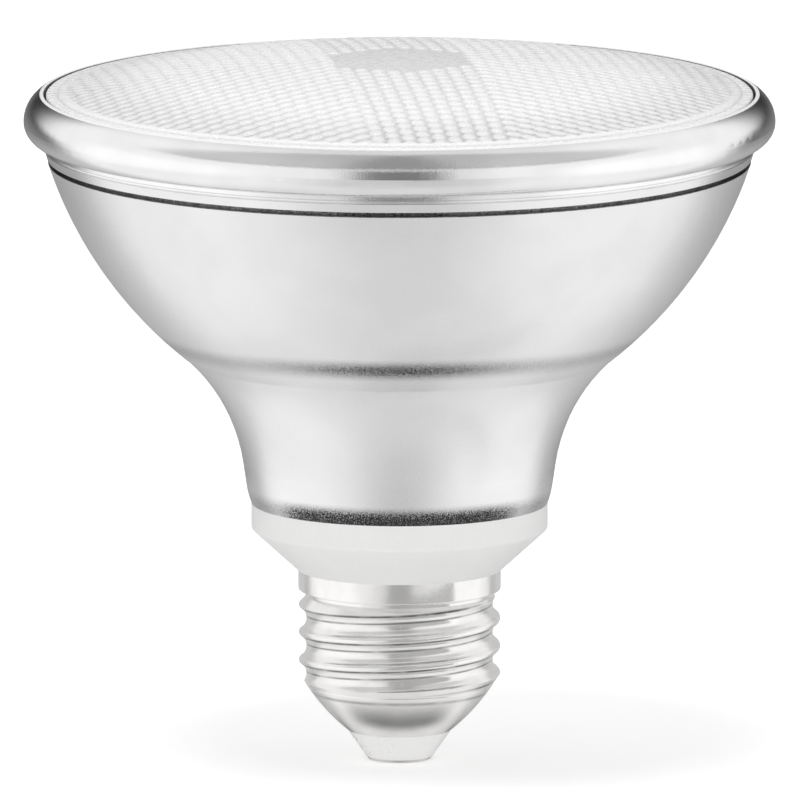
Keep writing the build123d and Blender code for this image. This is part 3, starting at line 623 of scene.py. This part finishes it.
# The room before and beside the lamp: brighter at the sides, with a box on each, and grey towards the camera
front = room.ramp(across, *FRONT.across, *FRONT.level)
boxes = room.product(
    room.ramp(across, *SIDE_BOX.across, 0.0, SIDE_BOX.glow),
    room.ramp(depth, *SIDE_BOX.depth, 1.0, 0.0),
    *rises(SIDE_BOX.rise),
)
front = room.math("ADD", front, boxes)
for share, bearings, edges in (SOFT_FRONT, DARK_STRIP, HIGH_PANEL, HIGH_PANEL_MIDDLE, HIGH_PANEL_EDGE):
    grey_part = room.product(share, room.ramp(bearing, *bearings), *rises(edges))
    front = room.math("MULTIPLY", front, room.math("SUBTRACT", 1.0, grey_part))

# The wall behind, black above the horizon and narrower there
wall = room.ramp(rise, *WALL.rise, *WALL.level, shape="LINEAR")
narrower = room.ramp(rise, *WALL.narrow_rise, 0.0, WALL.narrow)
behind = room.ramp(room.math("SUBTRACT", depth, narrower), *WALL.depth)
level = room.math(
    "ADD",
    room.math("MULTIPLY", wall, behind),
    room.math("MULTIPLY", front, room.math("SUBTRACT", 1.0, behind)),
)
rays = room.add("ShaderNodeLightPath")
seen = room.math("MAXIMUM", rays.outputs["Is Camera Ray"], rays.outputs["Is Transmission Ray"])
level = room.math("ADD", room.math("MULTIPLY", level, room.math("SUBTRACT", 1.0, seen)), seen)
glow = room.add("ShaderNodeBackground")
glow.inputs["Color"].default_value = grey(1.0)
room.links.new(level, glow.inputs["Strength"])
room.links.new(glow.outputs["Background"], room.add("ShaderNodeOutputWorld").inputs["Surface"])

# Floor: white, keeping a soft shadow
bm = bmesh.new()
bmesh.ops.create_grid(bm, x_segments=FLOOR_GRID, y_segments=FLOOR_GRID, size=FLOOR_SIZE)
floor = mesh_object("floor", bm)
floor.location.z = -FLOOR_DROP
floor.visible_glossy = False
material = bpy.data.materials.new("floor_white")
material.use_nodes = True
paper = Tree(material.node_tree)
diffuse = paper.add("ShaderNodeBsdfDiffuse")
diffuse.inputs["Color"].default_value = grey(FLOOR_COLOUR)
lift = paper.add("ShaderNodeEmission")
lift.inputs["Color"].default_value = grey(1.0)
rays = paper.add("ShaderNodeLightPath")
paper.links.new(paper.math("MULTIPLY", rays.outputs["Is Camera Ray"], FLOOR_LIFT), lift.inputs["Strength"])
both = paper.add("ShaderNodeAddShader")
paper.links.new(diffuse.outputs["BSDF"], both.inputs[0])
paper.links.new(lift.outputs["Emission"], both.inputs[1])
paper.links.new(both.outputs["Shader"], paper.add("ShaderNodeOutputMaterial").inputs["Surface"])
floor.data.materials.append(material)


def card(name, level, size, place, turn, stretch=1.0):
    """A card near the cap that only reflections show. Its mask is left to the caller."""
    bm = bmesh.new()
    bmesh.ops.create_grid(bm, x_segments=1, y_segments=1, size=0.5)
    obj = mesh_object(name, bm)
    for corner in obj.data.vertices:
        corner.co = (corner.co.x * size[0] * MM, corner.co.y * size[1] * MM, 0)
    obj.location = Vector(place) * MM
    obj.rotation_euler.x = turn
    obj.scale.x = stretch
    obj.visible_camera = obj.visible_diffuse = obj.visible_transmission = obj.visible_shadow = False
    material = bpy.data.materials.new(name)
    material.use_nodes = True
    tree = Tree(material.node_tree)
    sheet = tree.add("ShaderNodeEmission")
    sheet.inputs["Color"].default_value = grey(level)
    mix = tree.add("ShaderNodeMixShader")
    tree.links.new(tree.add("ShaderNodeBsdfTransparent").outputs["BSDF"], mix.inputs[1])
    tree.links.new(sheet.outputs["Emission"], mix.inputs[2])
    tree.links.new(mix.outputs["Shader"], tree.add("ShaderNodeOutputMaterial").inputs["Surface"])
    obj.data.materials.append(material)
    return tree, mix.inputs["Fac"]


# Cards for the cap: a dark ring under it as a painted shadow, a grey strip before it and a pale one behind
# it
shadow_card, share = card("contact_shadow_card", level=0.12, size=(30, 30), place=(0, 0, -0.01), turn=0.0, stretch=1.25)
at = shadow_card.polar()
# Painted shadow: a dark ring that the cap reflects in place of its shadow on the floor
shadow_ring_mask = shadow_card.product(
    shadow_card.band(at.radius, CONTACT_SHADOW_RING[:2]),
    shadow_card.band(at.radius, CONTACT_SHADOW_RING[1:], 1.0, 0.0),
    shadow_card.ramp(at.facing, *CONTACT_SHADOW_FADE),
)
shadow_card.put(share, shadow_ring_mask)
strip, share = card("grey_card", level=0.36, size=(90, 19), place=(0, -26, 11.5), turn=math.pi / 2)
x = strip.place()["X"]
strip_mask = strip.product(
    strip.band(x, GREY_LEFT, 0.0, GREY_SHARE),
    strip.band(x, GREY_RIGHT, 1.0, 0.0),
)
strip.put(share, strip_mask)
pale, share = card("pale_card", level=0.6, size=(110, 34), place=(0, 21, 17), turn=math.pi / 2)
spot = pale.place()
pale_mask = pale.product(
    pale.band(pale.math("ABSOLUTE", spot["X"]), PALE_SIDES, 1.0, 0.0),
    pale.band(spot["Y"], PALE_TOP, 1.0, 0.0),
)
pale.put(share, pale_mask)


def lamp(name, place, size, power):
    data = bpy.data.lights.new(name, "AREA")
    data.shape = "DISK"
    data.size = size
    data.energy = power
    obj = bpy.data.objects.new(name, data)
    obj.location = place
    obj.rotation_euler = (LAMP_AIM - Vector(place)).to_track_quat("-Z", "Y").to_euler()
    obj.visible_glossy = False
    scene.collection.objects.link(obj)


lamp("top_light", place=(-0.1, -0.2, 1.03), size=0.5, power=4.5)
lamp("front_fill", place=(0.0, -1.6, 0.14), size=0.25, power=5.0)

# Camera
camera_data = bpy.data.cameras.new("camera")
camera_data.sensor_width = SENSOR_WIDTH
camera_data.lens = SENSOR_WIDTH * VIEW_DISTANCE / VIEW_WIDTH
camera_data.clip_end = VIEW_CLIP
camera = bpy.data.objects.new("camera", camera_data)
back = Vector((0, -math.cos(VIEW_ELEVATION), math.sin(VIEW_ELEVATION)))
camera.location = VIEW_TARGET + back * VIEW_DISTANCE
camera.rotation_euler = (-back).to_track_quat("-Z", "Y").to_euler()
scene.collection.objects.link(camera)
scene.camera = camera
